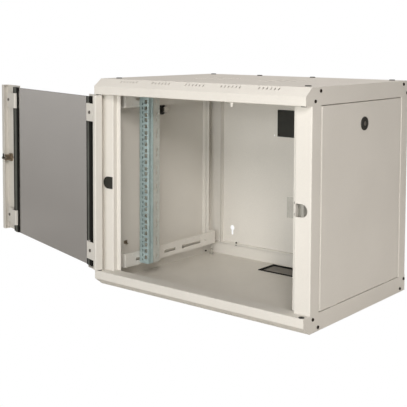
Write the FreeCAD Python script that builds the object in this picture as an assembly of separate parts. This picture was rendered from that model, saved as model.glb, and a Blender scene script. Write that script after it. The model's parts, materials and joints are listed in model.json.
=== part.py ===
import FreeCAD, Part
import math
import os

# Wall-mount 19-inch rack cabinet, nine units high, glass front door.
# Millimetres. While modelling, Y runs from the front lip (0) to the back
# (DEPTH); save() moves everything so that the origin is under the centre.

os.makedirs("parts", exist_ok=True)

Vec = FreeCAD.Vector

# Cabinet
WIDTH = 600.0
DEPTH = 450.0
HEIGHT = 505.0
SHEET = 1.5
CAP = 37.6                   # height of the base tray and of the cover
SLOPE_HEIGHT = 17.6          # sloped face below the front lip
SLOPE_DEPTH = 23.3
SIDE = WIDTH / 2             # outer face of a side
SKIN = SIDE - SHEET          # inner face of a side
FRONT_FLANGE = 36.0
REAR_FLANGE = 12.0
LOW = CAP                    # the posts stand between these heights
HIGH = HEIGHT - CAP

# Posts
POST_FRONT = 23.8
POST_BACK = 60.0
POST_STEP = 38.8
POST_WIDTH = 40.0
OPENING_HALF = 249.0
RETURN_REACH = 279.0
TAB_REACH = 268.0
REAR_POST_FRONT = 417.0
REAR_POST_REACH = 256.0
BRACKET_HEIGHT = 34.0
BRACKET_LOW = 38.0
BRACKET_X = 255.5            # inner face of the side brackets
BRACKET_BOLT_X = 275.5

# Door
HINGE_X = 291.0
HINGE_Y = 6.5
DOOR_HALF = 297.0
DOOR_LOW = 39.6
DOOR_HIGH = HEIGHT - DOOR_LOW
DOOR_DEPTH = 20.0
OPEN_ANGLE = 196.6
GLASS_FRONT = 4.0
GLASS_BACK = 9.0
GLASS_LOW = 41.1
GLASS_HIGH = 460.0
GLASS_LEFT = -259.0
GLASS_RIGHT = 228.5
SEAL_BACK = 11.0
CLAMP_HEIGHT = 43.0
CLAMP_LOWS = (61.5, 401.5)
CLAMP_MIDDLES = [low + CLAMP_HEIGHT / 2 for low in CLAMP_LOWS]
CLAMP_SCREW_X = (-268.0, 267.0)
LOCK_CLAMP_TOP = 18.5
LOCK_FOOT_Y = 9.25           # underside of the lock-side clamp feet
DOOR_LOCK_X = 268.5
DOOR_LOCK_Z = 252.5

# Side panels
PANEL_FRONT = 61.5
PANEL_REAR = 415.5
TONGUE_Y = (120.0, 360.0)    # tongues that hook each panel into the base
SIDE_LEDGE = 14.0            # inward ledge under each side panel
PANEL_LOCK_Y = 238.2
PANEL_LOCK_Z = 417.7

# Rack rails: 19-inch hole pattern, nine units of 44.45 mm
UNIT = 44.45
UNITS = 9
RACK_HOLE_X = 232.55
RACK_HOLE = 9.5
RAIL_FRONT = 110.0
RAIL_INNER = 225.0
RAIL_LOW = 43.0
RAIL_HIGH = HEIGHT - RAIL_LOW
RAIL_BOLT_Y = 125.0
SLOT_Z = 52.5                # height of the slots in the lower brackets

X_AXIS = (1, 0, 0)
Y_AXIS = (0, 1, 0)
Z_AXIS = (0, 0, 1)


# ---------------------------------------------------------------- helpers

def box(x0, x1, y0, y1, z0, z1):
    return Part.makeBox(x1 - x0, y1 - y0, z1 - z0, Vec(x0, y0, z0))


def rod(radius, start, direction, length):
    return Part.makeCylinder(radius, length, Vec(*start), Vec(*direction))


def joined(shapes):
    return shapes[0].fuse(shapes[1:]).removeSplitter()


def less(shape, cutters):
    return shape.cut(Part.makeCompound(cutters))


def mirror_x(shape):
    return shape.mirror(Vec(0, 0, 0), Vec(*X_AXIS))


def mirror_z(shape):
    return shape.mirror(Vec(0, 0, HEIGHT / 2), Vec(*Z_AXIS))


def placed(shape, origin, direction):
    """Put a shape drawn along +Z at an origin, pointing along a direction."""
    turn = FreeCAD.Rotation(Vec(*Z_AXIS), Vec(*direction))
    matrix = FreeCAD.Placement(Vec(*origin), turn).toMatrix()
    return shape.transformed(matrix, copy=True)


def save(name, shapes):
    """Write one node; a list becomes several solids in that node."""
    if isinstance(shapes, list):
        shapes = Part.makeCompound(shapes)
    moved = shapes.copy()
    moved.translate(Vec(0, -DEPTH / 2, 0))
    moved.exportStep("parts/" + name + ".step")


def to_space(plane, u, v, w):
    if plane == "xy":
        return Vec(u, v, w)
    if plane == "yz":
        return Vec(w, u, v)
    return Vec(u, w, v)


def prism(plane, points, low, high):
    """Extrude a closed outline given in a plane, from low to high."""
    corners = [to_space(plane, u, v, low) for u, v in points]
    wire = Part.makePolygon(corners + corners[:1])
    return Part.Face(wire).extrude(to_space(plane, 0, 0, high - low))


def bent_side(points, shift, radius):
    """Line and arc pieces of one side of a folded sheet's centre line."""
    vectors = [FreeCAD.Vector(u, v, 0) for u, v in points]
    pieces = []
    before = None
    for here, after in zip(vectors, vectors[1:] + [None]):
        if before is None or after is None:
            along = (after - here) if after is not None else (here - before)
            along.normalize()
            side = Vec(-along.y, along.x, 0)
            pieces.append([here + side * shift])
        else:
            first = (here - before).normalize()
            second = (after - here).normalize()
            turn = math.atan2(first.cross(second).z, first.dot(second))
            back = radius * math.tan(abs(turn) / 2)
            start = here - first * back
            end = here + second * back
            left_start = start + Vec(-first.y, first.x, 0) * shift
            left_end = end + Vec(-second.y, second.x, 0) * shift
            hand = 1 if turn > 0 else -1
            centre = start + Vec(-first.y, first.x, 0) * radius * hand
            reach = radius - shift * hand
            middle = centre + (here - centre).normalize() * reach
            pieces.append([left_start, middle, left_end])
        before = here
    return pieces


def folded(plane, points, low, high, inner_radius=1.0):
    """A folded sheet: centre line in a plane, extruded from low to high."""
    half = SHEET / 2
    radius = inner_radius + half
    left = bent_side(points, half, radius)
    right = bent_side(points, -half, radius)
    right = [piece[::-1] for piece in right[::-1]]
    edges = []
    last = None
    for piece in left + right + left[:1]:
        solid_points = [to_space(plane, p.x, p.y, low) for p in piece]
        if last is not None:
            edges.append(Part.makeLine(last, solid_points[0]))
        if len(solid_points) == 3:
            edges.append(Part.Arc(*solid_points).toShape())
        last = solid_points[-1]
    face = Part.Face(Part.Wire(edges))
    return face.extrude(to_space(plane, 0, 0, high - low))


def stadium(length, width, height):
    """A slot cutter along X, centred on the origin, through +-height/2."""
    reach = (length - width) / 2
    body = box(-reach, reach, -width / 2, width / 2, -height / 2, height / 2)
    ends = [rod(width / 2, (x, 0, -height / 2), Z_AXIS, height) for x in (-reach, reach)]
    return joined([body] + ends)


def side_slot(y0, y1, z, width):
    """A slot cutter along Y through the side bracket plate on the left."""
    cutter = stadium(y1 - y0, width, 8.0)
    cutter.rotate(Vec(0, 0, 0), Vec(*Z_AXIS), 90)
    cutter.rotate(Vec(0, 0, 0), Vec(*Y_AXIS), 90)
    cutter.translate(Vec(-BRACKET_X - SHEET / 2, (y0 + y1) / 2, z))
    return cutter


def hexagon(across_flats, bore_radius, height):
    radius = across_flats / 2 / math.cos(math.radians(30))
    corners = []
    for step in range(6):
        angle = math.radians(60 * step)
        corners.append((radius * math.cos(angle), radius * math.sin(angle)))
    body = prism("xy", corners, 0, height)
    rim = Part.makeCone(radius + height * 1.6, radius * 0.9, height * 1.05 + radius * 0.1)
    body = body.common(rim)
    return body.cut(rod(bore_radius, (0, 0, -1), Z_AXIS, height + 2))


def pan_screw(head_radius, head_height, shank_radius, length):
    """Pan-head screw with a cross recess; its bearing face is at z = 0."""
    head = Part.makeCylinder(head_radius, head_height)
    rim = [e for e in head.Edges if abs(e.BoundBox.ZMin - head_height) < 1e-6
           and abs(e.BoundBox.ZMax - head_height) < 1e-6]
    head = head.makeFillet(head_height * 0.6, rim[:1])
    shank = rod(shank_radius, (0, 0, -length), Z_AXIS, length)
    body = joined([head, shank])
    arm = head_radius * 0.6
    width = head_radius * 0.13
    floor = head_height * 0.4
    top = head_height + 1
    recess = [
        box(-arm, arm, -width, width, floor, top),
        box(-width, width, -arm, arm, floor, top),
    ]
    return less(body, recess)


def opened(shape):
    """Swing a door piece, drawn closed, to the open position."""
    out = shape.copy()
    out.rotate(Vec(-HINGE_X, HINGE_Y, 0), Vec(*Z_AXIS), -OPEN_ANGLE)
    return out


def both_ends(shape):
    return [shape, mirror_z(shape)]


# ------------------------------------------------------- cover and base

SIDE_SCREWS = (
    (35.0, CAP - 9.0),
    (55.0, CAP - 29.5),
    (424.5, CAP - 29.5),
    (443.5, CAP - 9.0),
)
REAR_SCREW_X = 202.0
REAR_SCREW_Y = 443.0


def inset_corner(corner, first_normal, second_normal, depth):
    scale = depth / (1 + first_normal[0] * second_normal[0] + first_normal[1] * second_normal[1])
    return (corner[0] + scale * (first_normal[0] + second_normal[0]),
            corner[1] + scale * (first_normal[1] + second_normal[1]))


def tray():
    """Folded shell shared by the base and (turned over) the cover."""
    half = SHEET / 2
    slope = math.hypot(SLOPE_HEIGHT, SLOPE_DEPTH)
    inward = (SLOPE_HEIGHT / slope, SLOPE_DEPTH / slope)
    centre_line = [
        (FRONT_FLANGE, CAP - half),
        (half, CAP - half),
        inset_corner((0, SLOPE_HEIGHT), (1, 0), inward, half),
        inset_corner((SLOPE_DEPTH, 0), inward, (0, 1), half),
        (DEPTH - half, half),
        (DEPTH - half, CAP - half),
        (DEPTH - REAR_FLANGE, CAP - half),
    ]
    strip = folded("yz", centre_line, -SIDE, SIDE)
    outline = [(0, CAP), (0, SLOPE_HEIGHT), (SLOPE_DEPTH, 0), (DEPTH, 0), (DEPTH, CAP)]
    left = prism("yz", outline, -SIDE, -SKIN)
    ledge = box(-SIDE + 0.5, -SIDE + SIDE_LEDGE, PANEL_FRONT, PANEL_REAR, CAP - SHEET, CAP)
    left = joined([left, ledge])
    shell = joined([strip, left, mirror_x(left)])
    cutters = []
    for side in (-1, 1):
        for y in TONGUE_Y:
            slot_low, slot_high = sorted((side * 293.5, side * SKIN))
            cutters.append(box(slot_low, slot_high, y - 13.5, y + 13.5, CAP - 3, CAP + 1))
        for y, z in SIDE_SCREWS:
            cutters.append(rod(2.05, (side * (SIDE + 2), y, z), (-side, 0, 0), 6))
        cutters.append(rod(4.5, (side * HINGE_X, HINGE_Y, CAP - 5), Z_AXIS, 8))
        cutters.append(rod(2.05, (side * REAR_SCREW_X, REAR_SCREW_Y, CAP - 5), Z_AXIS, 8))
        notch_low = min(side * 295.0, side * SKIN)
        notch_high = max(side * 295.0, side * SKIN)
        cutters.append(box(notch_low, notch_high, 26, 40, CAP - 3, CAP + 1))
        cutters.append(box(notch_low, notch_high, 430, 448.5, CAP - 3, CAP + 1))
    return less(shell, cutters + slope_vents())


def slope_vents():
    """Five groups of six short upright slots across the sloped face."""
    slope_angle = math.degrees(math.atan2(SLOPE_HEIGHT, SLOPE_DEPTH))
    vents = []
    for group in range(-2, 3):
        for slot in range(6):
            cutter = stadium(9.0, 2.8, 9.0)
            cutter.rotate(Vec(0, 0, 0), Vec(*Z_AXIS), 90)
            cutter.translate(Vec(0, -9.0, 0))
            cutter.rotate(Vec(0, 0, 0), Vec(*X_AXIS), -slope_angle)
            x = group * 100.0 + (slot - 2.5) * 10.0
            cutter.translate(Vec(x, SLOPE_DEPTH, 0))
            vents.append(cutter)
    return vents


FLOOR_ENTRY = (-71.0, 71.0, 371.0, 436.0)
base = tray()
x0, x1, y0, y1 = FLOOR_ENTRY
base = base.cut(box(x0, x1, y0, y1, -1, 3))
save("base_tray", base)

FAN_X = 97.0
FAN_Y = 225.0
FAN_HOLE_SPACING = 105.0
FAN_RADIUS = 61.0
PLUGS = ((-270, 55), (270, 55), (-270, 425), (270, 425), (46, 430), (-118, 430))


def fan_grille(centre_x):
    """Rows of slots that fill a circle, plus four fan screw holes."""
    cutters = []
    pitch = 8.0
    for row in range(-7, 8):
        reach = math.sqrt(FAN_RADIUS ** 2 - (row * pitch) ** 2)
        length = reach - 3.0
        for side in (-1, 1):
            cutter = stadium(length, 4.0, 8.0)
            middle = centre_x + side * (3.0 + length / 2)
            cutter.translate(Vec(middle, FAN_Y + row * pitch, HEIGHT))
            cutters.append(cutter)
    half = FAN_HOLE_SPACING / 2
    for dx in (-half, half):
        for dy in (-half, half):
            cutters.append(rod(2.25, (centre_x + dx, FAN_Y + dy, HEIGHT - 4), Z_AXIS, 8))
    return cutters


cover = mirror_z(tray())
plug_holes = [rod(5.0, (x, y, HEIGHT - 4), Z_AXIS, 8) for x, y in PLUGS]
cover = less(cover, fan_grille(-FAN_X) + fan_grille(FAN_X) + plug_holes)
stop_outline = [(101.5, HIGH + 0.5), (105.0, 457.0), (109.0, 457.0), (112.5, HIGH + 0.5)]
door_stop = prism("xz", stop_outline, 10.5, 12.0)
save("top_cover", joined([cover, door_stop]))

plug = rod(7.0, (0, 0, 0), Z_AXIS, 2.0)
plug = plug.makeFillet(1.2, [e for e in plug.Edges if e.BoundBox.ZMin > 1.9])
plug = joined([plug, rod(4.9, (0, 0, -6), Z_AXIS, 6)])
save("corner_plugs", [placed(plug, (x, y, HEIGHT), Z_AXIS) for x, y in PLUGS])

edging_outer = box(x0 - 3, x1 + 3, y0 - 3, y1 + 2, SHEET, 3.2)
edging_inner = box(x0, x1, y0, y1, 0.2, 3.2)
edging_hole = box(x0 + 2.5, x1 - 2.5, y0 + 2.5, y1 - 2.5, -1, 5)
save("floor_entry_edging", joined([edging_outer, edging_inner]).cut(edging_hole))

side_screw = pan_screw(3.6, 2.2, 1.95, 7.0)
base_screws = []
for side in (-1, 1):
    for y, z in SIDE_SCREWS:
        base_screws.append(placed(side_screw, (side * SIDE, y, z), (side, 0, 0)))
save("base_screws", base_screws)
save("cover_screws", [mirror_z(screw) for screw in base_screws])

earth_stud = joined([
    rod(4.5, (0, 0, 0), Z_AXIS, 0.8),
    rod(2.9, (0, 0, 0), Z_AXIS, 16),
])
earth_stud = earth_stud.makeChamfer(0.6, [e for e in earth_stud.Edges if e.BoundBox.ZMin > 15.9])
save("earth_stud", placed(earth_stud, (-275, 425, SHEET), Z_AXIS))
save("earth_nut", placed(hexagon(10.0, 2.95, 5.0), (-275, 425, SHEET + 0.8), Z_AXIS))


# ------------------------------------------------------------------ posts

D_FLAT = 262.8               # straight side of the D-shaped hole in a front post
D_CENTRE = 277.4
D_RADIUS = 13.8


def screw_tab(y_front, y_back):
    """Inner tab that reaches down behind the side of the base tray."""
    return box(-SKIN, -SKIN + SHEET, y_front, y_back, 3.0, 58.0)


def post_screw_holes(picks):
    return [rod(2.05, (-SIDE - 2, y, z), X_AXIS, 8) for y, z in picks]


def bracket_lugs(y_front):
    """Local widening of a post's return where a side bracket is bolted."""
    low = box(-RETURN_REACH, -TAB_REACH, y_front, y_front + SHEET,
              BRACKET_LOW, BRACKET_LOW + BRACKET_HEIGHT)
    return both_ends(low)


def bracket_bolt_holes(y):
    hole = rod(2.1, (-BRACKET_BOLT_X, y - 5, BRACKET_LOW + 17), Y_AXIS, 12)
    return both_ends(hole)


def front_post():
    half = SHEET / 2
    centre_line = [
        (-RETURN_REACH, POST_BACK - half),
        (-SIDE + half, POST_BACK - half),
        (-SIDE + half, POST_FRONT + half),
        (-SIDE + POST_WIDTH - half, POST_FRONT + half),
        (-SIDE + POST_WIDTH - half, POST_STEP - half),
        (-OPENING_HALF, POST_STEP - half),
    ]
    body = folded("xy", centre_line, LOW, HIGH)
    tabs = both_ends(screw_tab(28.0, 58.0))
    body = joined([body] + tabs + bracket_lugs(POST_BACK - SHEET))
    holes = post_screw_holes(SIDE_SCREWS[:2])
    holes += [mirror_z(hole) for hole in holes]
    holes += bracket_bolt_holes(POST_BACK)
    holes += [d_shape(D_FLAT, D_RADIUS, POST_FRONT - 1, POST_FRONT + 4)]
    return less(body, holes)


def d_shape(flat_x, radius, y0, y1):
    """D outline in the left front post, straight side to the opening."""
    round_part = rod(radius, (-D_CENTRE, y0, DOOR_LOCK_Z), Y_AXIS, y1 - y0)
    square = box(-D_CENTRE, -flat_x, y0, y1, DOOR_LOCK_Z - radius, DOOR_LOCK_Z + radius)
    return joined([round_part, square])


def rear_post():
    half = SHEET / 2
    centre_line = [
        (-RETURN_REACH, REAR_POST_FRONT + half),
        (-SIDE + half, REAR_POST_FRONT + half),
        (-SIDE + half, DEPTH - half),
        (-REAR_POST_REACH - half, DEPTH - half),
        (-REAR_POST_REACH - half, DEPTH - 10),
    ]
    body = folded("xy", centre_line, LOW, HIGH)
    tabs = both_ends(screw_tab(419.5, 447.5))
    body = joined([body] + tabs + bracket_lugs(REAR_POST_FRONT))
    holes = post_screw_holes(SIDE_SCREWS[2:])
    holes += [mirror_z(hole) for hole in holes]
    holes += bracket_bolt_holes(REAR_POST_FRONT)
    return less(body, holes)


STRIKER_SCREW_X = 254.0
STRIKER_SCREW_ZS = (DOOR_LOCK_Z - 12, DOOR_LOCK_Z + 12)
striker_holes = [rod(2.1, (STRIKER_SCREW_X, 30, z), Y_AXIS, 14) for z in STRIKER_SCREW_ZS]

left_post = front_post()
save("front_left_post", left_post)
save("front_right_post", less(mirror_x(left_post), striker_holes))
left_rear = rear_post()
save("rear_left_post", left_rear)
save("rear_right_post", mirror_x(left_rear))

plug_flange = d_shape(D_FLAT - 0.2, D_RADIUS + 0.8, POST_FRONT - 1.4, POST_FRONT)
plug_body = d_shape(D_FLAT + 0.2, D_RADIUS - 0.2, POST_FRONT, POST_FRONT + 4)
plug_hollow = d_shape(D_FLAT + 2, D_RADIUS - 2, POST_FRONT + 0.6, POST_FRONT + 5)
save("post_plug", joined([plug_flange, plug_body]).cut(plug_hollow))

striker_plate = box(232, 283, POST_STEP, POST_STEP + SHEET, 231, 274)
keeper = box(275, 282, POST_FRONT + SHEET + 0.1, POST_FRONT + SHEET + 1.5, 234, 271)
keeper_leg = box(275, 282, POST_FRONT + SHEET + 0.1, POST_STEP, 234, 235.5)
upper_leg = keeper_leg.copy()
upper_leg.translate(Vec(0, 0, 35.5))
striker = joined([striker_plate, keeper, keeper_leg, upper_leg])
save("lock_striker", less(striker, striker_holes))

small_screw = pan_screw(3.4, 2.0, 1.95, 8.0)
save("striker_screws", [
    placed(small_screw, (STRIKER_SCREW_X, POST_STEP - SHEET, z), (0, -1, 0))
    for z in STRIKER_SCREW_ZS
])


# ------------------------------------------------------------- rear panel

REAR_HALF = 252.5
ENTRY_COVER = (-70.8, 70.8, 345.0, 416.0)
KEYHOLES = ((80.0, 64.0), (444.0, 456.0))    # heights of each eye and slot end


def rear_panel():
    plate = box(-REAR_HALF, REAR_HALF, DEPTH - SHEET, DEPTH, LOW, HIGH)
    side = box(-REAR_HALF, -REAR_HALF + SHEET, DEPTH - 10, DEPTH, LOW, HIGH)
    foot = box(-REAR_HALF, REAR_HALF, DEPTH - 10, DEPTH, LOW, LOW + SHEET)
    body = joined([plate, side, mirror_x(side)] + both_ends(foot))
    cutters = []
    for x in (-REAR_SCREW_X, REAR_SCREW_X):
        cutters += both_ends(rod(2.05, (x, REAR_SCREW_Y, LOW - 2), Z_AXIS, 6))
        for eye_z, slot_z in KEYHOLES:
            x_key = math.copysign(220.0, x)
            cutters.append(rod(7.0, (x_key, DEPTH - 4, eye_z), Y_AXIS, 8))
            cutters.append(rod(3.5, (x_key, DEPTH - 4, slot_z), Y_AXIS, 8))
            low, high = sorted((eye_z, slot_z))
            cutters.append(box(x_key - 3.5, x_key + 3.5, DEPTH - 4, DEPTH + 4, low, high))
    x0, x1, z0, z1 = ENTRY_COVER
    cutters.append(box(x0 + 9, x1 - 9, DEPTH - 4, DEPTH + 4, z0 + 9, z1 - 9))
    for x, z in entry_screw_places():
        cutters.append(rod(1.55, (x, DEPTH - 4, z), Y_AXIS, 8))
    cutters.append(rod(2.0, (-82.0, DEPTH - 4, z0 + 2), Y_AXIS, 8))
    return less(body, cutters)


def entry_screw_places():
    x0, x1, z0, z1 = ENTRY_COVER
    return [(x, z) for x in (x0 + 4.5, x1 - 4.5) for z in (z0 + 4.5, z1 - 4.5)]


save("rear_panel", rear_panel())
x0, x1, z0, z1 = ENTRY_COVER
entry_cover = box(x0, x1, DEPTH - SHEET - 2, DEPTH - SHEET, z0, z1)
entry_rim = box(x0 + 9.5, x1 - 9.5, DEPTH - SHEET, DEPTH - 0.2, z0 + 9.5, z1 - 9.5)
entry_holes = [rod(1.55, (x, DEPTH - 8, z), Y_AXIS, 8) for x, z in entry_screw_places()]
save("rear_entry_cover", less(joined([entry_cover, entry_rim]), entry_holes))
tiny_screw = pan_screw(2.6, 1.6, 1.45, 5.0)
save("entry_cover_screws", [
    placed(tiny_screw, (x, DEPTH - SHEET - 2, z), (0, -1, 0)) for x, z in entry_screw_places()
])

panel_screw = pan_screw(3.6, 2.2, 1.95, 6.5)
rear_screws = []
for x in (-REAR_SCREW_X, REAR_SCREW_X):
    rear_screws += both_ends(placed(panel_screw, (x, REAR_SCREW_Y, LOW - SHEET), (0, 0, -1)))
save("rear_panel_screws", rear_screws)


# --------------------------------------------------------- side brackets

def side_bracket():
    """Lower left bracket between the posts, with slots for the rail."""
    half = SHEET / 2
    outer = -RETURN_REACH - 4
    front = POST_BACK + half
    rear = REAR_POST_FRONT - half
    centre_line = [
        (outer, front),
        (-BRACKET_X - half, front),
        (-BRACKET_X - half, rear),
        (outer, rear),
    ]
    body = folded("xy", centre_line, BRACKET_LOW, BRACKET_LOW + BRACKET_HEIGHT)
    cutters = [
        side_slot(98.0, 144.5, SLOT_Z, 7.0),
        side_slot(204.0, 250.0, SLOT_Z, 7.0),
        side_slot(278.0, 354.0, SLOT_Z, 7.0),
        rod(6.0, (-BRACKET_X - 5, 281.0, SLOT_Z), X_AXIS, 10),
        rod(2.0, (-BRACKET_X - 5, 373.0, SLOT_Z), X_AXIS, 10),
    ]
    for y in (84.7, 105.7, 287.4, 326.3, 349.0):
        cutters.append(rod(1.75, (-BRACKET_X - 5, y, 66.0), X_AXIS, 10))
    for y in (POST_BACK, REAR_POST_FRONT):
        cutters.append(rod(2.1, (-BRACKET_BOLT_X, y - 6, BRACKET_LOW + 17), Y_AXIS, 12))
    return less(body, cutters)


lower_left = side_bracket()
arm = box(-287.5, -BRACKET_X - SHEET, 228, 249, 464.0, 465.5)
lip = box(-287.5, -286.0, 228, 249, 430, 465.5)
upper_left = joined([mirror_z(lower_left), arm, lip])
save("lower_left_side_bracket", lower_left)
save("lower_right_side_bracket", mirror_x(lower_left))
save("upper_left_side_bracket", upper_left)
save("upper_right_side_bracket", mirror_x(upper_left))

bracket_screw = pan_screw(3.8, 2.4, 2.0, 9.0)
bracket_nut = hexagon(7.0, 2.05, 3.2)
bracket_screws = []
bracket_nuts = []
for x in (-BRACKET_BOLT_X, BRACKET_BOLT_X):
    for y, inward in ((POST_BACK + SHEET, 1), (REAR_POST_FRONT - SHEET, -1)):
        low = (x, y, BRACKET_LOW + 17)
        bracket_screws += both_ends(placed(bracket_screw, low, (0, inward, 0)))
        seat = (x, y - inward * 2 * SHEET, BRACKET_LOW + 17)
        bracket_nuts += both_ends(placed(bracket_nut, seat, (0, -inward, 0)))
save("bracket_screws", bracket_screws)
save("bracket_nuts", bracket_nuts)


# ------------------------------------------------------------ rack rails

def rack_rail():
    half = SHEET / 2
    outer = -BRACKET_X + 0.2 + half
    centre_line = [
        (outer, RAIL_FRONT + 30),
        (outer, RAIL_FRONT + half),
        (-RAIL_INNER - half, RAIL_FRONT + half),
        (-RAIL_INNER - half, RAIL_FRONT + 42),
    ]
    body = folded("xy", centre_line, RAIL_LOW, RAIL_HIGH)
    bead = rod(2.3, (-RAIL_INNER - 1.1, RAIL_FRONT + 15, RAIL_LOW), Z_AXIS, RAIL_HIGH - RAIL_LOW)
    body = joined([body, bead])
    first_unit = HEIGHT / 2 - UNITS * UNIT / 2
    cutters = []
    for unit in range(UNITS):
        middle = first_unit + (unit + 0.5) * UNIT
        for offset in (-15.875, 0.0, 15.875):
            cutters.append(nut_hole(middle + offset))
        for offset in (-15.875, 15.875):
            cutters.append(upright_oval(9.5, 6.0, -RAIL_INNER - half, 31.0, middle + offset))
        for offset in (-UNIT / 4, UNIT / 4):
            cutters.append(upright_oval(8.5, 6.0, outer, 18.0, middle + offset))
        for step, height in enumerate((4.0, 6.5, 6.5, 6.5)):
            cutters.append(marker_slot(first_unit + (unit + step / 4) * UNIT, height))
    cutters += both_ends(rod(3.1, (-260, RAIL_BOLT_Y, SLOT_Z), X_AXIS, 12))
    return less(body, cutters)


def upright_oval(height, width, x, behind_front, z):
    oval = stadium(height, width, 8.0)
    oval.rotate(Vec(0, 0, 0), Vec(*Y_AXIS), 90)
    oval.translate(Vec(x, RAIL_FRONT + behind_front, z))
    return oval


def nut_hole(z):
    """Square hole for a cage nut."""
    edge = RACK_HOLE / 2
    return box(-RACK_HOLE_X - edge, -RACK_HOLE_X + edge, RAIL_FRONT - 3, RAIL_FRONT + 5,
               z - edge, z + edge)


def marker_slot(z, height):
    """Narrow slot beside the nut holes, four to a unit, the unit's own one short."""
    return box(-245.1, -241.5, RAIL_FRONT - 3, RAIL_FRONT + 5, z - height / 2, z + height / 2)


rail = rack_rail()
save("left_rack_rail", rail)
save("right_rack_rail", mirror_x(rail))

rail_bolt = pan_screw(5.0, 3.0, 2.95, 10.5)
flange_nut = joined([hexagon(10.0, 3.0, 6.0), Part.makeCylinder(7.0, 1.2).cut(
    Part.makeCylinder(3.0, 1.2))])
bolt_seat = (-BRACKET_X + 0.2 + SHEET, RAIL_BOLT_Y, SLOT_Z)
nut_seat = (-BRACKET_X - SHEET - 0.1, RAIL_BOLT_Y, SLOT_Z)
rail_bolts = both_ends(placed(rail_bolt, bolt_seat, X_AXIS))
rail_nuts = both_ends(placed(flange_nut, nut_seat, (-1, 0, 0)))
rail_fixings = rail_bolts + rail_nuts
save("left_rail_bolts", rail_fixings)
save("right_rail_bolts", [mirror_x(piece) for piece in rail_fixings])


# ----------------------------------------------------------- side panels

def side_panel():
    """Right panel: a flat pan with rounded vertical edges and two tongues."""
    half = SHEET / 2
    reach = SIDE - 12
    centre_line = [
        (reach, PANEL_FRONT + half),
        (SIDE - half, PANEL_FRONT + half),
        (SIDE - half, PANEL_REAR - half),
        (reach, PANEL_REAR - half),
    ]
    body = folded("xy", centre_line, DOOR_LOW, DOOR_HIGH, inner_radius=2.0)
    top = box(SIDE - 8, SKIN + 0.5, PANEL_FRONT + 4, PANEL_REAR - 4, DOOR_HIGH - SHEET, DOOR_HIGH)
    foot = box(SIDE - 12, SKIN + 0.5, PANEL_FRONT + 4, PANEL_REAR - 4, DOOR_LOW, DOOR_LOW + SHEET)
    tongues = [box(SKIN - SHEET, SKIN, y - 12.5, y + 12.5, 30.0, 56.0) for y in TONGUE_Y]
    body = joined([body, top, foot] + tongues)
    hole = rod(9.1, (SKIN - 4, PANEL_LOCK_Y, PANEL_LOCK_Z), X_AXIS, 10)
    return body.cut(hole)


right_panel = side_panel()
save("right_side_panel", right_panel)
save("left_side_panel", mirror_x(right_panel))


def spin_ring(outer, inner, low, high):
    return rod(outer, (0, 0, low), Z_AXIS, high - low).cut(
        rod(inner, (0, 0, low - 1), Z_AXIS, high - low + 2))


def lock_barrel(bezel_radius, barrel_radius, length, bore):
    """Flanged body; z = 0 is the outer face of the sheet it sits in."""
    bezel = Part.makeCylinder(bezel_radius, 2.6)
    bezel = bezel.makeFillet(1.4, [e for e in bezel.Edges if e.BoundBox.ZMin > 2.5])
    body = joined([bezel, rod(barrel_radius, (0, 0, -length), Z_AXIS, length)])
    return body.cut(rod(bore, (0, 0, -length - 1), Z_AXIS, length + 6))


def lock_core(radius, length, keyway, end_nut):
    """Turning plug with a key slot outside and the nut that holds its cam."""
    end_flats, end_height = end_nut
    end = hexagon(end_flats, 1.0, end_height)
    end = placed(end, (0, 0, -length - 2.0), (0, 0, -1))
    body = joined([
        rod(radius, (0, 0, -length), Z_AXIS, length + 2.2),
        rod(2.2, (0, 0, -length - 2.0 - end_height), Z_AXIS, 2.0 + end_height),
        end,
    ])
    return body.cut(box(-keyway, keyway, -0.6, 0.6, 0.2, 3))


def cam_blade(width, length, thickness, bore):
    """Flat blade that points along +X from the lock axis, z = 0 upward."""
    blade = box(0, length - width / 2, -width / 2, width / 2, 0, thickness)
    tip = rod(width / 2, (length - width / 2, 0, 0), Z_AXIS, thickness)
    hub = rod(width / 2, (0, 0, 0), Z_AXIS, thickness)
    return joined([blade, tip, hub]).cut(rod(bore, (0, 0, -1), Z_AXIS, thickness + 2))


PANEL_CORE_LENGTH = 15.0     # from the panel face to the front of the cam

lock_at = (SIDE, PANEL_LOCK_Y, PANEL_LOCK_Z)
barrel = placed(lock_barrel(15.0, 9.0, 14.5, 5.1), lock_at, X_AXIS)
nut = placed(hexagon(24.0, 9.05, 9.0), (SKIN, PANEL_LOCK_Y, PANEL_LOCK_Z), (-1, 0, 0))
core = placed(lock_core(5.05, PANEL_CORE_LENGTH, 3.0, (17.0, 4.5)), lock_at, X_AXIS)
blade = cam_blade(9.0, 22.0, 2.0, 2.2)
blade.rotate(Vec(0, 0, 0), Vec(*Z_AXIS), -90)
blade.rotate(Vec(0, 0, 0), Vec(*Y_AXIS), 90)
blade.translate(Vec(SIDE - PANEL_CORE_LENGTH - 2.0, PANEL_LOCK_Y, PANEL_LOCK_Z))
for label, shape in (("barrel", barrel), ("nut", nut), ("core", core), ("cam", blade)):
    save("right_panel_lock_" + label, shape)
    save("left_panel_lock_" + label, mirror_x(shape))

tab_plate = box(SKIN - 0.8, SKIN, 99, 111, 85, 93)
tab_blade = box(SKIN - 8, SKIN, 102, 108, 85, 85.8)
earth_tab = joined([tab_plate, tab_blade])
save("right_panel_earth_tab", earth_tab)
save("left_panel_earth_tab", mirror_x(earth_tab))


# ------------------------------------------------------------------ door

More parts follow.
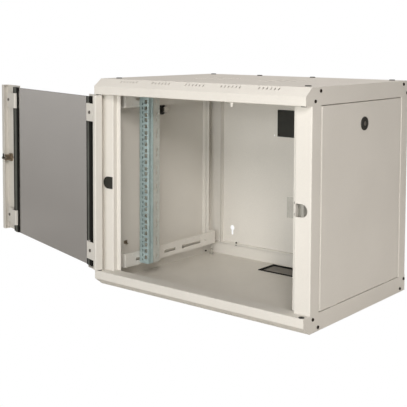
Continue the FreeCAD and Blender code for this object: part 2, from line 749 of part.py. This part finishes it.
def door_strip(edge_x, web_reach, back_reach, support):
    """Edge channel of the door; edge_x < 0 is the hinge side."""
    hand = 1 if edge_x > 0 else -1
    half = SHEET / 2
    centre_line = [
        (edge_x - hand * back_reach, DOOR_DEPTH - half),
        (edge_x - hand * half, DOOR_DEPTH - half),
        (edge_x - hand * half, half),
        (edge_x - hand * web_reach, half),
    ]
    body = folded("xy", centre_line, DOOR_LOW, DOOR_HIGH)
    near = edge_x - hand * 0.5
    far = edge_x - hand * back_reach
    end_plate = box(min(near, far), max(near, far), 0.5, DOOR_DEPTH - 0.5,
                    DOOR_LOW, DOOR_LOW + SHEET)
    ledge = prism("xy", support, DOOR_LOW, GLASS_LOW)
    return joined([body, ledge] + both_ends(end_plate))


HINGE_SUPPORT = [(-287.0, 1.0), (-230.5, 1.0), (-230.5, 6.0), (-256.0, 18.5), (-287.0, 18.5)]
LOCK_SUPPORT = [(206.0, 1.0), (224.0, 1.0), (224.0, SEAL_BACK), (206.0, SEAL_BACK)]
hinge_strip = door_strip(-DOOR_HALF, 67.0, 11.5, HINGE_SUPPORT)
pin_hole = rod(2.5, (-HINGE_X, HINGE_Y, DOOR_LOW - 1), Z_AXIS, 6)
posts = [rod(3.5, (CLAMP_SCREW_X[0], SHEET - 0.5, z), Y_AXIS, DOOR_DEPTH - 2 * SHEET + 0.5)
         for z in CLAMP_MIDDLES]
bores = [rod(1.55, (CLAMP_SCREW_X[0], SHEET, z), Y_AXIS, DOOR_DEPTH) for z in CLAMP_MIDDLES]
dimples = [rod(1.6, (-DOOR_HALF - 1, 10.5, z), X_AXIS, 1.4) for z in (52.0, 82.0, 425.0, 455.0)]
hinge_strip = less(joined([hinge_strip] + posts), both_ends(pin_hole) + bores + dimples)
save("door_hinge_strip", opened(hinge_strip))

lock_strip = door_strip(DOOR_HALF, 93.0, 17.0, LOCK_SUPPORT)
lock_posts = [rod(3.5, (CLAMP_SCREW_X[1], SHEET - 0.5, z), Y_AXIS, LOCK_FOOT_Y - SHEET + 0.5)
              for z in CLAMP_MIDDLES]
lock_bores = [rod(1.55, (CLAMP_SCREW_X[1], SHEET, z), Y_AXIS, DOOR_DEPTH) for z in CLAMP_MIDDLES]
lock_hole = rod(9.1, (DOOR_LOCK_X, -2, DOOR_LOCK_Z), Y_AXIS, 6)
lock_strip = less(joined([lock_strip] + lock_posts), lock_bores + [lock_hole])
save("door_lock_strip", opened(lock_strip))

glass = box(GLASS_LEFT, GLASS_RIGHT, GLASS_FRONT, GLASS_BACK, GLASS_LOW, GLASS_HIGH)
save("door_glass", opened(glass))


def glass_seal(outer, inner):
    """Rubber channel round one edge of the glass; outer faces the door edge."""
    hand = 1 if outer > inner else -1
    high = GLASS_HIGH + 0.5
    parts = [
        (outer, inner + hand * 3, SHEET, GLASS_FRONT),
        (outer, outer - hand * 8, SHEET, GLASS_BACK),
        (outer - hand * 5, inner, GLASS_BACK, SEAL_BACK),
    ]
    boxes = []
    for a, b, y0, y1 in parts:
        boxes.append(box(min(a, b), max(a, b), y0, y1, GLASS_LOW, high))
    body = joined(boxes)
    return body.cut(glass)


HINGE_SEAL = (-263.5, -233.0)
LOCK_SEAL = (236.5, 200.5)
save("hinge_side_glass_seal", opened(glass_seal(*HINGE_SEAL)))
save("lock_side_glass_seal", opened(glass_seal(*LOCK_SEAL)))

hinge_trim = box(-247.5, -241, SEAL_BACK, SEAL_BACK + 1.4, GLASS_LOW, GLASS_HIGH + 0.5)
lock_trim = box(208.5, 221, SEAL_BACK, SEAL_BACK + 1.4, GLASS_LOW, GLASS_HIGH + 0.5)
save("hinge_side_seal_trim", opened(hinge_trim))
save("lock_side_seal_trim", opened(lock_trim))

def glass_clamp(centre_line, screw_x, low):
    body = folded("xy", centre_line, low, low + CLAMP_HEIGHT, inner_radius=0.6)
    hole = rod(1.6, (screw_x, 0, low + CLAMP_HEIGHT / 2), Y_AXIS, DOOR_DEPTH + 2)
    return body.cut(hole)


plate_y = DOOR_DEPTH - SHEET / 2
top_y = LOCK_CLAMP_TOP - SHEET / 2
HINGE_CLAMP_LINE = [(-284.0, plate_y), (-250.0, plate_y), (-250.0, SEAL_BACK)]
foot_y = LOCK_FOOT_Y + SHEET / 2
LOCK_CLAMP_LINE = [(277.0, foot_y), (238.0, foot_y), (238.0, top_y), (206.5, top_y),
                   (206.5, SEAL_BACK)]
hinge_clamp_screw = pan_screw(4.0, 2.2, 1.5, 10.0)
lock_clamp_screw = pan_screw(4.0, 2.4, 1.5, 8.0)
clamp_screws = []
for label, low in zip(("lower", "upper"), CLAMP_LOWS):
    middle = low + CLAMP_HEIGHT / 2
    hinge_x, lock_x = CLAMP_SCREW_X
    save(label + "_hinge_side_clamp", opened(glass_clamp(HINGE_CLAMP_LINE, hinge_x, low)))
    save(label + "_lock_side_clamp", opened(glass_clamp(LOCK_CLAMP_LINE, lock_x, low)))
    for screw, seat in ((hinge_clamp_screw, (hinge_x, DOOR_DEPTH, middle)),
                        (lock_clamp_screw, (lock_x, LOCK_FOOT_Y + SHEET, middle))):
        clamp_screws.append(opened(placed(screw, seat, Y_AXIS)))
save("clamp_screws", clamp_screws)

pin = joined([
    rod(2.5, (-HINGE_X, HINGE_Y, 32.0), Z_AXIS, 20.0),
    rod(4.0, (-HINGE_X, HINGE_Y, DOOR_LOW + SHEET), Z_AXIS, 4.0),
])
save("door_hinge_pins", [opened(shape) for shape in both_ends(pin)])

bush = joined([
    spin_ring(6.0, 2.55, CAP, CAP + 1.2),
    spin_ring(4.45, 2.55, CAP - 3.5, CAP),
])
bushes = []
for x in (-HINGE_X, HINGE_X):
    bushes += both_ends(placed(bush, (x, HINGE_Y, 0), Z_AXIS))
save("hinge_bushes", bushes)

DOOR_CORE_LENGTH = 27.5      # from the door face to the front of the cam
door_lock_at = (DOOR_LOCK_X, 0, DOOR_LOCK_Z)
door_barrel = placed(lock_barrel(13.0, 9.0, 22.0, 4.1), door_lock_at, (0, -1, 0))
door_nut = placed(hexagon(22.0, 9.05, 5.5), (DOOR_LOCK_X, SHEET, DOOR_LOCK_Z), Y_AXIS)
door_core = placed(lock_core(4.05, DOOR_CORE_LENGTH, 2.6, (7.0, 2.0)), door_lock_at, (0, -1, 0))
door_cam = cam_blade(7.0, 12.5, 1.6, 2.2)
door_cam.rotate(Vec(0, 0, 0), Vec(*X_AXIS), -90)
door_cam.rotate(Vec(0, 0, 0), Vec(*Y_AXIS), -90)
door_cam.translate(Vec(DOOR_LOCK_X, DOOR_CORE_LENGTH, DOOR_LOCK_Z))
save("door_lock_barrel", opened(door_barrel))
save("door_lock_nut", opened(door_nut))
save("door_lock_core", opened(door_core))
save("door_lock_cam", opened(door_cam))
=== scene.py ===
import json
import math

import bpy
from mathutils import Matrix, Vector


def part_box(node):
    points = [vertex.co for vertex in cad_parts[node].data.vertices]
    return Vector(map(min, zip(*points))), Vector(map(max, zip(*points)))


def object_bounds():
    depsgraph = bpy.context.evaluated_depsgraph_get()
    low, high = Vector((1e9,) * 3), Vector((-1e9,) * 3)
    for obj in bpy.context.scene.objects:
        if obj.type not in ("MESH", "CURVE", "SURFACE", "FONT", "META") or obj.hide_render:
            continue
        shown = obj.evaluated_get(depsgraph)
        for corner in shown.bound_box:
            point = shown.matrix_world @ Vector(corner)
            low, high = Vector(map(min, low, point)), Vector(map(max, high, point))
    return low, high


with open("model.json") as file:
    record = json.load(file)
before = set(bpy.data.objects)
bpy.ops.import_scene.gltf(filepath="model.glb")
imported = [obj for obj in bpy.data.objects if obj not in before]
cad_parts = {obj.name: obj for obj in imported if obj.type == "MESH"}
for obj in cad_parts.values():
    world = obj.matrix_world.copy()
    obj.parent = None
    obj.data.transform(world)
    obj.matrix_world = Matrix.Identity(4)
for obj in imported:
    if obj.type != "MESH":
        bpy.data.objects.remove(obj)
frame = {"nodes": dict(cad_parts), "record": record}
cad_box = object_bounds()

nodes = frame["nodes"]
slots = {part["node"]: part["material_slot"] for part in frame["record"]["subparts"]}
scene = bpy.context.scene
scene.view_settings.view_transform = "Standard"
scene.view_settings.look = "None"

# ------------------------------------------------------------------ camera

SENSOR = 36.0            # mm
LENS = 78.1775           # mm
SHIFT_Y = -0.2543        # of the frame's width; the view is shifted down
CAMERA_AT = (1.2418, -1.7099, 0.5983)
CAMERA_YAW = 39.032      # degrees, as are the next two
CAMERA_PITCH = 3.869
CAMERA_ROLL = 0.238
SEES_AS_FAR_AS = 60.0    # m, past the floor's corners

camera_data = bpy.data.cameras.new("camera")
camera_data.sensor_width = SENSOR
camera_data.lens = LENS
camera_data.shift_y = SHIFT_Y
camera_data.clip_end = SEES_AS_FAR_AS
camera = bpy.data.objects.new("camera", camera_data)
camera.location = CAMERA_AT
camera.rotation_euler = (
    math.radians(90 - CAMERA_PITCH),
    math.radians(-CAMERA_ROLL),
    math.radians(CAMERA_YAW),
)
scene.collection.objects.link(camera)
scene.camera = camera

# ------------------------------------------------------------ shader nodes


def srgb(red, green, blue):
    """Linear colour from display values of 0 to 255."""
    out = []
    for value in (red, green, blue):
        value /= 255.0
        out.append(value / 12.92 if value <= 0.04045 else ((value + 0.055) / 1.055) ** 2.4)
    return (*out, 1.0)


def grey(value):
    return srgb(value, value, value)


WHITE = (1.0, 1.0, 1.0, 1.0)


class Maker:
    """A new material, with short ways to add nodes to it."""

    def __init__(self, name):
        self.material = bpy.data.materials.new(name)
        self.material.use_nodes = True
        self.tree = self.material.node_tree
        self.shader = self.tree.nodes["Principled BSDF"]
        place = self.tree.nodes.new("ShaderNodeTexCoord")
        self.coords = place.outputs["Object"]

    def link(self, source, target):
        self.tree.links.new(source, target)

    def stretched(self, scale):
        mapping = self.tree.nodes.new("ShaderNodeMapping")
        mapping.inputs["Scale"].default_value = scale
        self.link(self.coords, mapping.inputs["Vector"])
        return mapping.outputs["Vector"]

    def noise(self, scale, detail=3.0, rough=0.5, stretch=None):
        node = self.tree.nodes.new("ShaderNodeTexNoise")
        node.inputs["Scale"].default_value = scale
        node.inputs["Detail"].default_value = detail
        node.inputs["Roughness"].default_value = rough
        coords = self.stretched(stretch) if stretch else self.coords
        self.link(coords, node.inputs["Vector"])
        return node.outputs["Fac"]

    def cells(self, scale):
        node = self.tree.nodes.new("ShaderNodeTexVoronoi")
        node.inputs["Scale"].default_value = scale
        self.link(self.coords, node.inputs["Vector"])
        return node.outputs["Color"]

    def ramp(self, source, low, high, low_at=0.3, high_at=0.7):
        """Colour that goes from low to high as the source goes up."""
        node = self.tree.nodes.new("ShaderNodeValToRGB")
        first, second = node.color_ramp.elements
        first.position, second.position = low_at, high_at
        first.color, second.color = low, high
        self.link(source, node.inputs["Fac"])
        return node.outputs["Color"]

    def spread(self, source, low, high, low_at=0.3, high_at=0.7):
        """Number that goes from low to high as the source goes up."""
        node = self.tree.nodes.new("ShaderNodeMapRange")
        for label, value in (("From Min", low_at), ("From Max", high_at),
                             ("To Min", low), ("To Max", high)):
            node.inputs[label].default_value = value
        self.link(source, node.inputs["Value"])
        return node.outputs["Result"]

    def along(self, axis, low, high, low_at, high_at):
        """Number that goes from low to high as the place goes along an axis."""
        split = self.tree.nodes.new("ShaderNodeSeparateXYZ")
        self.link(self.coords, split.inputs[0])
        return self.spread(split.outputs[axis], low, high, low_at, high_at)

    def mixed(self, first, second, factor, blend="MIX"):
        """Mix of two colours; the factor is a number or another node's output."""
        node = self.tree.nodes.new("ShaderNodeMix")
        node.data_type = "RGBA"
        node.blend_type = blend
        if isinstance(factor, float):
            node.inputs["Factor"].default_value = factor
        else:
            self.link(factor, node.inputs["Factor"])
        self.link(first, node.inputs["A"])
        self.link(second, node.inputs["B"])
        return node.outputs["Result"]

    def bump(self, source, strength, distance, normal=None):
        node = self.tree.nodes.new("ShaderNodeBump")
        node.inputs["Strength"].default_value = strength
        node.inputs["Distance"].default_value = distance
        self.link(source, node.inputs["Height"])
        if normal is not None:
            self.link(normal, node.inputs["Normal"])
        return node.outputs["Normal"]

    def set(self, **values):
        """Put plain values on the shader's sockets; an underscore stands for a space."""
        for label, value in values.items():
            self.shader.inputs[label.replace("_", " ")].default_value = value

    def feed(self, **sources):
        """Link other nodes' outputs to the shader's sockets."""
        for label, source in sources.items():
            self.link(source, self.shader.inputs[label.replace("_", " ")])


# --------------------------------------------------------------- materials

RAIL_BLUE_DEPTH = 0.0185    # the rail is blue as far as this behind its front
PALER_BACK_BLEND = 0.001        # half the width in which the rail's colour turns paler
GLASS_PAINTED_REFLECTION_FROM = 0.16     # heights between which a painted reflection makes the glass paler
GLASS_PAINTED_REFLECTION_FULL = 0.47
SATIN = (0.35, 0.5)         # lowest and highest roughness


def powder_coat(name, light, dark):
    """Fine-textured grey powder coat with a little orange peel."""
    make = Maker(name)
    broad = make.ramp(make.noise(scale=7.0, detail=2.0), dark, light)
    speck = make.ramp(make.noise(scale=1900.0, detail=2.0), grey(236), WHITE)
    make.feed(Base_Color=make.mixed(broad, speck, 1.0, "MULTIPLY"))
    make.feed(Roughness=make.spread(make.noise(scale=60.0, detail=3.0), 0.38, 0.50))
    peel = make.bump(make.noise(scale=520.0, detail=2.0), strength=0.25, distance=0.0002)
    grain = make.noise(scale=2100.0, detail=1.0)
    make.feed(Normal=make.bump(grain, strength=0.2, distance=0.0001, normal=peel))
    make.set(Specular_IOR_Level=0.45)
    return make.material


def zinc_plating(name, light, dark, metal=0.3, back=None):
    """Passivated zinc over rolled sheet: crystal cells and rolling lines.

    back is (light, dark, y): paler colours for the sheet behind that y."""
    make = Maker(name)
    noise = make.noise(scale=26.0, detail=4.0, rough=0.6)
    clouds = make.ramp(noise, dark, light)
    if back:
        pale_light, pale_dark, edge = back
        behind = make.along("Y", 0.0, 1.0, edge - PALER_BACK_BLEND, edge + PALER_BACK_BLEND)
        clouds = make.mixed(clouds, make.ramp(noise, pale_dark, pale_light), behind)
    crystal = make.ramp(make.cells(scale=260.0), grey(224), WHITE, low_at=0.0, high_at=1.0)
    clouds = make.mixed(clouds, crystal, 0.5, "MULTIPLY")
    lines = make.noise(scale=900.0, detail=3.0, rough=0.6, stretch=(1.0, 1.0, 0.06))
    shade = make.ramp(lines, srgb(232, 233, 233), WHITE)
    make.feed(Base_Color=make.mixed(clouds, shade, 0.8, "MULTIPLY"))
    make.feed(Roughness=make.spread(lines, 0.34, 0.5))
    make.feed(Normal=make.bump(lines, strength=0.12, distance=0.0001))
    make.set(Metallic=metal)
    return make.material


def moulded_plastic(name, light, dark, rough=(0.42, 0.6)):
    """Moulded plastic with a fine grain."""
    make = Maker(name)
    make.feed(Base_Color=make.ramp(make.noise(scale=35.0, detail=3.0), dark, light))
    grain = make.noise(scale=1500.0, detail=3.0, rough=0.6)
    make.feed(Roughness=make.spread(grain, *rough))
    make.feed(Normal=make.bump(grain, strength=0.3, distance=0.0002))
    return make.material


def soft_rubber(name, light, dark):
    """Matt extruded rubber, streaked along its length."""
    make = Maker(name)
    streak = make.noise(scale=300.0, detail=3.0, rough=0.5, stretch=(1.0, 1.0, 0.04))
    make.feed(Base_Color=make.ramp(streak, dark, light))
    make.feed(Roughness=make.spread(streak, 0.62, 0.8))
    make.feed(Normal=make.bump(streak, strength=0.2, distance=0.0002))
    make.set(Specular_IOR_Level=0.22)
    return make.material


def machined_metal(name, light, dark, rough=(0.18, 0.32)):
    """Turned or stamped metal with a fine tooth."""
    make = Maker(name)
    tone = make.noise(scale=120.0, detail=4.0, rough=0.6)
    make.feed(Base_Color=make.ramp(tone, dark, light))
    turning = make.noise(scale=2400.0, detail=2.0)
    make.feed(Roughness=make.spread(turning, *rough))
    make.feed(Normal=make.bump(turning, strength=0.1, distance=0.00005))
    make.set(Metallic=1.0)
    return make.material


def smoked_glass(name, light, dark):
    """Grey tempered glass, with a painted reflection that makes it paler towards its top
    edge.
    """
    make = Maker(name)
    # painted reflection: the glass's tint grows paler with height
    height = make.along("Z", 0.0, 1.0, GLASS_PAINTED_REFLECTION_FROM, GLASS_PAINTED_REFLECTION_FULL)
    tint_and_painted_reflection = make.ramp(height, dark, light, low_at=0.0, high_at=1.0)
    smear = make.ramp(make.noise(scale=3.0, detail=2.0), grey(250), WHITE)
    make.feed(Base_Color=make.mixed(tint_and_painted_reflection, smear, 1.0, "MULTIPLY"))
    haze = make.noise(scale=18.0, detail=4.0, rough=0.6)
    make.feed(Roughness=make.spread(haze, 0.01, 0.04, low_at=0.35, high_at=0.75))
    wave = make.noise(scale=4.0, detail=1.0)
    make.feed(Normal=make.bump(wave, strength=0.05, distance=0.002))
    make.set(IOR=1.5, Transmission_Weight=1.0, Specular_IOR_Level=0.5)
    return make.material


rail_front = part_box("left_rack_rail")[0][1]
rail_paler_back = (srgb(230, 232, 226), srgb(212, 214, 206), rail_front + RAIL_BLUE_DEPTH)

# Keys are the record's material slots, and one node that looks duller than its slot.
finishes = {
    "grey_paint": powder_coat(
        "grey_powder_coat", srgb(237, 233, 225), srgb(233, 229, 221)),
    "rail_zinc": zinc_plating(
        "blue_zinc", srgb(190, 210, 210), srgb(166, 184, 184), back=rail_paler_back),
    "zinc_plate": zinc_plating(
        "bright_zinc", srgb(206, 204, 196), srgb(182, 180, 172), metal=0.6),
    "clamp_screws": zinc_plating(
        "dull_zinc", srgb(128, 122, 114), srgb(92, 86, 80), metal=0.5),
    "dark_screw": machined_metal(
        "black_oxide", srgb(70, 62, 56), srgb(44, 38, 34), SATIN),
    "black_plastic": moulded_plastic(
        "black_moulding", srgb(46, 46, 41), srgb(34, 34, 30)),
    "black_rubber": soft_rubber(
        "black_rubber", srgb(30, 29, 26), srgb(18, 18, 16)),
    "seal_trim": moulded_plastic(
        "grey_trim", srgb(104, 106, 100), srgb(86, 88, 82), (0.45, 0.6)),
    # the paler colour is the painted reflection at the glass's top
    "door_glass": smoked_glass(
        "smoked_glass", srgb(172, 168, 163), srgb(139, 135, 130)),
    "lock_chrome": machined_metal(
        "polished_chrome", srgb(212, 208, 202), srgb(196, 192, 186)),
    "lock_black": machined_metal(
        "black_cam", srgb(58, 56, 52), srgb(38, 36, 34), SATIN),
    "brass_parts": machined_metal(
        "aged_brass", srgb(176, 162, 144), srgb(138, 124, 108), (0.34, 0.5)),
}

for name, thing in nodes.items():
    for place in thing.material_slots:
        place.material = finishes.get(name) or finishes[slots[name]]

# ------------------------------------------------------ softened CAD edges

EDGE_WIDTHS = {"grey_paint": 0.0007, "door_glass": 0.0008, "black_rubber": 0.0006}
SMALL_PART_EDGE = 0.00025
SHARPER_THAN = 35           # degrees between the faces of an edge that is softened

for name, thing in nodes.items():
    bevel = thing.modifiers.new("soft_edges", "BEVEL")
    bevel.width = EDGE_WIDTHS.get(slots[name], SMALL_PART_EDGE)
    bevel.segments = 2
    bevel.limit_method = "ANGLE"
    bevel.angle_limit = math.radians(SHARPER_THAN)

# ------------------------------------------------------ floor, surroundings

FLOOR_HALF = 14.0
FLOOR_DROP = 0.0005         # gap under the cabinet, so that no faces coincide
PATCH_SOFTNESS = 0.004      # width in which the patch's edge fades
PATCH_INSET = 0.004         # how far inside the base the patch ends
PATCH_FRONT_INSET = 0.03
WARM = (1.0, 0.955, 0.92)
NEUTRAL = (0.98, 1.0, 1.0)
SKY_LIGHT = 0.135           # what the surroundings give off as light
SEEN_WHITE = 1.0            # what the lens sees of them, and of the open floor


def math_node(tree, operation, first, second):
    """Result of a sum on two values, each a number or another node's output."""
    node = tree.nodes.new("ShaderNodeMath")
    node.operation = operation
    for value, target in zip((first, second), node.inputs):
        if isinstance(value, float):
            target.default_value = value
        else:
            tree.links.new(value, target)
    return node.outputs[0]


def mixed_shader(tree, share, first, second, output):
    """Send a mix of two shaders to the output node; share is the second's part."""
    mix = tree.nodes.new("ShaderNodeMixShader")
    for source, target in zip((share, first, second), mix.inputs):
        tree.links.new(source, target)
    tree.links.new(mix.outputs[0], tree.nodes[output].inputs["Surface"])


def seen_directly(tree):
    """1 for rays from the lens and for rays that have passed through the glass."""
    path = tree.nodes.new("ShaderNodeLightPath")
    return math_node(tree, "MAXIMUM", path.outputs["Is Camera Ray"],
                     path.outputs["Is Transmission Ray"])


def white_ground(low, high):
    """Studio floor that the lens sees as plain white.

    The patch under the cabinet, from low to high, shows its own shading and has a darker
    colour as painted shade."""
    make = Maker("white_ground")
    noise = make.noise(scale=2.0, detail=2.0)
    open_floor = make.ramp(noise, srgb(222, 219, 214), srgb(226, 223, 218))
    # painted shade: the floor under the cabinet gets a darker colour
    patch = make.ramp(noise, srgb(140, 136, 130), srgb(146, 142, 136))
    make.set(Roughness=0.9)
    sides = []
    for axis, start, end in (("X", low[0], high[0]), ("Y", low[1], high[1])):
        sides.append(make.along(axis, 0.0, 1.0, start, start + PATCH_SOFTNESS))
        sides.append(make.along(axis, 1.0, 0.0, end - PATCH_SOFTNESS, end))
    inside = sides[0]
    for side in sides[1:]:
        inside = math_node(make.tree, "MULTIPLY", inside, side)
    make.feed(Base_Color=make.mixed(open_floor, patch, inside))
    glow = make.tree.nodes.new("ShaderNodeEmission")
    glow.inputs["Color"].default_value = WHITE
    glow.inputs["Strength"].default_value = SEEN_WHITE
    outside = math_node(make.tree, "SUBTRACT", 1.0, inside)
    share = math_node(make.tree, "MULTIPLY", outside, seen_directly(make.tree))
    mixed_shader(make.tree, share, make.shader.outputs[0], glow.outputs[0],
                 "Material Output")
    return make.material


def studio_world():
    """Soft warm light from all round, with white for the lens to see."""
    world = bpy.data.worlds.new("studio")
    world.use_nodes = True
    tree = world.node_tree
    sky = tree.nodes["Background"]
    sky.inputs["Color"].default_value = (*WARM, 1.0)
    sky.inputs["Strength"].default_value = SKY_LIGHT
    backdrop = tree.nodes.new("ShaderNodeBackground")
    backdrop.inputs["Color"].default_value = WHITE
    backdrop.inputs["Strength"].default_value = SEEN_WHITE
    mixed_shader(tree, seen_directly(tree), sky.outputs[0], backdrop.outputs[0],
                 "World Output")
    return world


base_low, base_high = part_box("base_tray")
ground_mesh = bpy.data.meshes.new("ground")
corners = ((-1, -1), (1, -1), (1, 1), (-1, 1))
ground_mesh.from_pydata(
    [(x * FLOOR_HALF, y * FLOOR_HALF, 0.0) for x, y in corners], [], [(0, 1, 2, 3)])
ground_mesh.materials.append(white_ground(
    low=(base_low[0] + PATCH_INSET, base_low[1] + PATCH_FRONT_INSET),
    high=(base_high[0] - PATCH_INSET, base_high[1] - PATCH_INSET)))
ground = bpy.data.objects.new("ground", ground_mesh)
ground.location = (0, 0, cad_box[0][2] - FLOOR_DROP)
scene.collection.objects.link(ground)

scene.world = studio_world()

# ------------------------------------------------------------------- light

AIM = (0.0, 0.0, 0.25)      # near the middle of the cabinet


def softbox(name, azimuth, elevation, distance, size, level, colour):
    """Area light aimed at the cabinet. Azimuth 0 is in front, 90 is on +X.

    level is the brightness of a white surface that faces it."""
    a, e = math.radians(azimuth), math.radians(elevation)
    offset = (math.sin(a) * math.cos(e), -math.cos(a) * math.cos(e), math.sin(e))
    data = bpy.data.lights.new(name, "AREA")
    data.shape = "RECTANGLE"
    data.size, data.size_y = size
    data.energy = level * math.pi ** 2 * distance ** 2
    data.color = colour
    lamp = bpy.data.objects.new(name, data)
    lamp.location = [c + distance * o for c, o in zip(AIM, offset)]
    lamp.rotation_euler = (math.pi / 2 - e, 0, a)
    lamp.visible_camera = False
    lamp.visible_transmission = False
    scene.collection.objects.link(lamp)


softbox("front_box", azimuth=4, elevation=8, distance=3.6, size=(2.0, 1.3),
        level=0.265, colour=NEUTRAL)
softbox("camera_box", azimuth=25, elevation=5, distance=3.6, size=(0.8, 1.0),
        level=0.17, colour=NEUTRAL)
softbox("key_box", azimuth=38, elevation=26, distance=3.4, size=(0.6, 0.8),
        level=0.40, colour=WARM)
softbox("back_box", azimuth=180, elevation=70, distance=2.6, size=(2.2, 2.2),
        level=0.66, colour=WARM)
